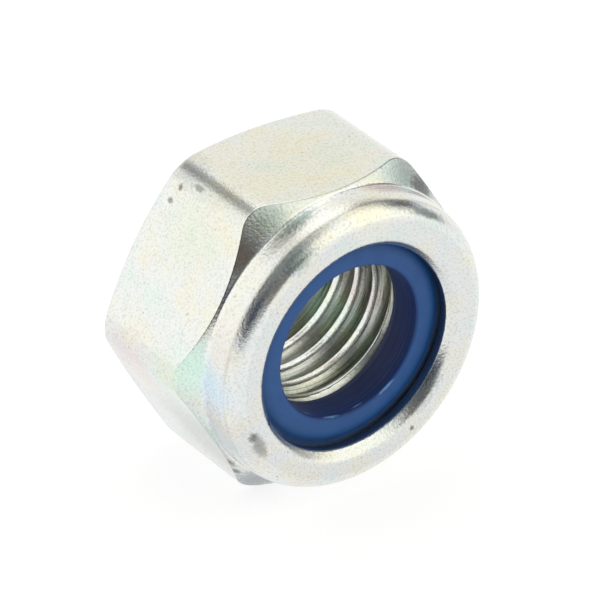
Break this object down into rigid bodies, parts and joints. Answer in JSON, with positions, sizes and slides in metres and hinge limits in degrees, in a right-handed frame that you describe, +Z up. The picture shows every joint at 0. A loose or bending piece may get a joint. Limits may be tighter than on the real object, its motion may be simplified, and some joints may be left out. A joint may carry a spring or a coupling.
{
  "type": "nylon insert lock nut",
  "caption": "Hexagonal steel lock nut with a rolled collar that holds a blue nylon ring above a right-hand metric coarse thread.",
  "frame": {"origin": "on the thread axis, in the plane of the bearing face", "axes": "thread axis along Y, bearing face towards +Y, collar and nylon ring towards -Y; +Z up, lying on one of the six flats"},
  "size_m": [0.019, 0.01, 0.017],
  "materials": {
    "zinc_plated_steel": "clear passivated zinc plate, satin and finely grained",
    "blue_nylon": "moulded polyamide, satin"
  },
  "bodies": {
    "root": {"nut_body": "zinc_plated_steel", "nylon_ring": "blue_nylon"}
  },
  "joints": []
}
